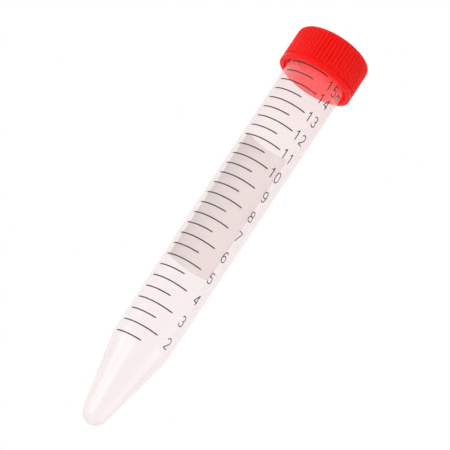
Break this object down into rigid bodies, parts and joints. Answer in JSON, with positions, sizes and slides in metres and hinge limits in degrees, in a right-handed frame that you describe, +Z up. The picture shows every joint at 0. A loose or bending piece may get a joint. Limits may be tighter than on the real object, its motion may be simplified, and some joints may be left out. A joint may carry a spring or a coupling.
{
  "type": "conical centrifuge tube",
  "caption": "Slim round plastic tube with a conical bottom, printed volume scale, rear writing panel and a ribbed screw cap.",
  "frame": {"origin": "the tube's tip, on its axis, where it meets the floor of a rack", "axes": "+Z up the tube's axis towards the cap; -Y is the side with the printed scale and +Y the side with the writing panel"},
  "size_m": [0.0212, 0.0212, 0.1199],
  "materials": {
    "natural_plastic": "translucent natural polypropylene, moulded, softly frosted",
    "red_plastic": "red polyethylene, moulded, slightly translucent at thin edges",
    "seal_plastic": "soft off-white elastomer disc",
    "scale_ink": "dark brown-grey screen-printed ink",
    "panel_ink": "matt off-white screen-printed writing panel"
  },
  "bodies": {
    "tube_body": {"tube": "natural_plastic"},
    "seal_body": {"seal_disc": "seal_plastic"},
    "cap_body": {"screw_cap": "red_plastic"}
  },
  "joints": [
    {"name": "cap_lift", "type": "slide", "parent": "tube_body", "child": "seal_body", "axis": [0, 0, 1], "range_m": [0, 0.009]},
    {"name": "cap_turn", "type": "hinge", "parent": "seal_body", "child": "cap_body", "pos_m": [0, 0, 0.10895], "axis": [0, 0, 1], "range_deg": [0, 1080]}
  ],
  "couplings": [
    {"joint": "cap_lift", "follows": "cap_turn", "m_per_rad": 0.00047746}
  ]
}
